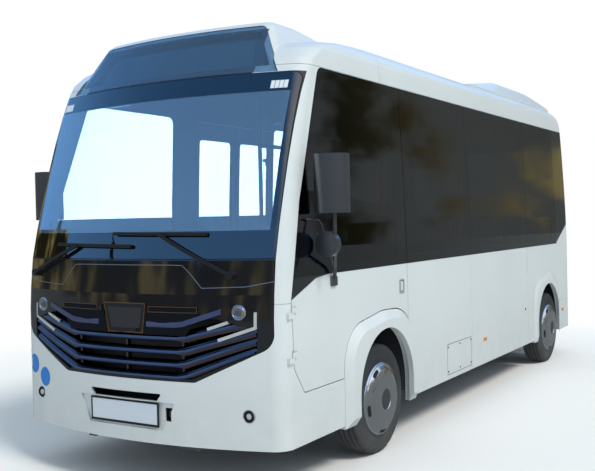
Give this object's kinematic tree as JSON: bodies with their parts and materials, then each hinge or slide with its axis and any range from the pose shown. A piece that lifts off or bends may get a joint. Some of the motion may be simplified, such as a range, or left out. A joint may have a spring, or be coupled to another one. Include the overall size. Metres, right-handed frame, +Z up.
{
  "type": "minibus",
  "caption": "Low-floor city minibus with a raked windscreen, flush side glazing, roof pods, a louvred front, flared arches, steering wheels, opening doors and a rear hatch.",
  "frame": {"origin": "on the ground, at the middle of the overall box", "axes": "-Y towards the front of the vehicle, +X towards its left side, +Z up"},
  "size_m": [2.6, 6.6118, 3.0115],
  "materials": {
    "body_paint": "gloss white paint",
    "mask_plastic": "gloss dark grey plastic",
    "black_plastic": "matt black",
    "chrome": "bright chrome",
    "screen_glass": "clear laminated glass with a dark border",
    "tinted_glass": "dark tinted glass",
    "lamp_lens": "clear lamp lens",
    "tyre": "rubber",
    "wheel_cover": "polished wheel cover",
    "chassis_paint": "satin black",
    "cast_iron": "rough cast",
    "floor_covering": "speckled floor covering",
    "cabin_plastic": "dark grained plastic",
    "seat_fabric": "woven fabric",
    "handrail_paint": "gloss red",
    "mirror_housing": "gloss grey"
  },
  "bodies": {
    "body": {"arch_flares": "body_paint", "cabin_floor": "floor_covering", "chassis_frame": "chassis_paint", "dashboard": "cabin_plastic", "driver_partition": "cabin_plastic", "driver_seat": "seat_fabric", "front_axle": "chassis_paint", "front_bumper": "body_paint", "front_cap": "body_paint", "front_lamps": "lamp_lens", "front_mask": "mask_plastic", "grille_louvres": "chrome", "handrails": "handrail_paint", "left_side_glass": "tinted_glass", "left_side_wall": "body_paint", "passenger_seats": "seat_fabric", "power_unit": "cast_iron", "rear_axle": "chassis_paint", "rear_bumper": "body_paint", "rear_lamps": "lamp_lens", "rear_roof_pod": "body_paint", "rear_wall": "body_paint", "rear_window": "tinted_glass", "right_mirror": "mirror_housing", "right_side_glass": "tinted_glass", "right_side_wall": "body_paint", "roof_panel": "body_paint", "sign_glass": "tinted_glass", "steering_wheel": "cabin_plastic", "windscreen": "screen_glass", "wipers": "black_plastic"},
    "left_knuckle": {"left_knuckle": "cast_iron"},
    "right_knuckle": {"right_knuckle": "cast_iron"},
    "front_left_wheel": {"front_left_rim": "wheel_cover", "front_left_tyre": "tyre"},
    "front_right_wheel": {"front_right_rim": "wheel_cover", "front_right_tyre": "tyre"},
    "rear_left_wheel": {"rear_left_rim": "wheel_cover", "rear_left_tyre": "tyre"},
    "rear_right_wheel": {"rear_right_rim": "wheel_cover", "rear_right_tyre": "tyre"},
    "driver_door": {"driver_door": "body_paint", "driver_door_glass": "tinted_glass", "left_mirror": "mirror_housing"},
    "entry_door_front": {"entry_door_front": "body_paint", "entry_door_front_glass": "tinted_glass"},
    "entry_door_rear": {"entry_door_rear": "body_paint", "entry_door_rear_glass": "tinted_glass"},
    "rear_hatch": {"rear_hatch": "body_paint"}
  },
  "joints": [
    {"name": "steer_left", "type": "hinge", "parent": "body", "child": "left_knuckle", "pos_m": [0.79, -1.866, 0.3765], "axis": [0, 0, 1], "range_deg": [-38, 38]},
    {"name": "steer_right", "type": "hinge", "parent": "body", "child": "right_knuckle", "pos_m": [-0.79, -1.866, 0.3765], "axis": [0, 0, 1], "range_deg": [-38, 38]},
    {"name": "front_left_spin", "type": "hinge", "parent": "left_knuckle", "child": "front_left_wheel", "pos_m": [0.9475, -1.866, 0.3765], "axis": [1, 0, 0], "continuous": true},
    {"name": "front_right_spin", "type": "hinge", "parent": "right_knuckle", "child": "front_right_wheel", "pos_m": [-0.9475, -1.866, 0.3765], "axis": [1, 0, 0], "continuous": true},
    {"name": "rear_left_spin", "type": "hinge", "parent": "body", "child": "rear_left_wheel", "pos_m": [0.9475, 2.334, 0.3765], "axis": [1, 0, 0], "continuous": true},
    {"name": "rear_right_spin", "type": "hinge", "parent": "body", "child": "rear_right_wheel", "pos_m": [-0.9475, 2.334, 0.3765], "axis": [1, 0, 0], "continuous": true},
    {"name": "driver_door_hinge", "type": "hinge", "parent": "body", "child": "driver_door", "pos_m": [1.066, -3.022, 0.9], "axis": [0, 0, -1], "range_deg": [0, 75]},
    {"name": "entry_door_front_hinge", "type": "hinge", "parent": "body", "child": "entry_door_front", "pos_m": [-1.066, -1.267, 1.2], "axis": [0, 0, 1], "range_deg": [0, 90]},
    {"name": "entry_door_rear_hinge", "type": "hinge", "parent": "body", "child": "entry_door_rear", "pos_m": [-1.066, -0.053, 1.2], "axis": [0, 0, -1], "range_deg": [0, 90]},
    {"name": "rear_hatch_hinge", "type": "hinge", "parent": "body", "child": "rear_hatch", "pos_m": [0, 3.306, 1.397], "axis": [1, 0, 0], "range_deg": [0, 75]}
  ],
  "couplings": [
    {"joint": "steer_right", "follows": "steer_left", "ratio": 1},
    {"joint": "entry_door_rear_hinge", "follows": "entry_door_front_hinge", "ratio": 1}
  ]
}
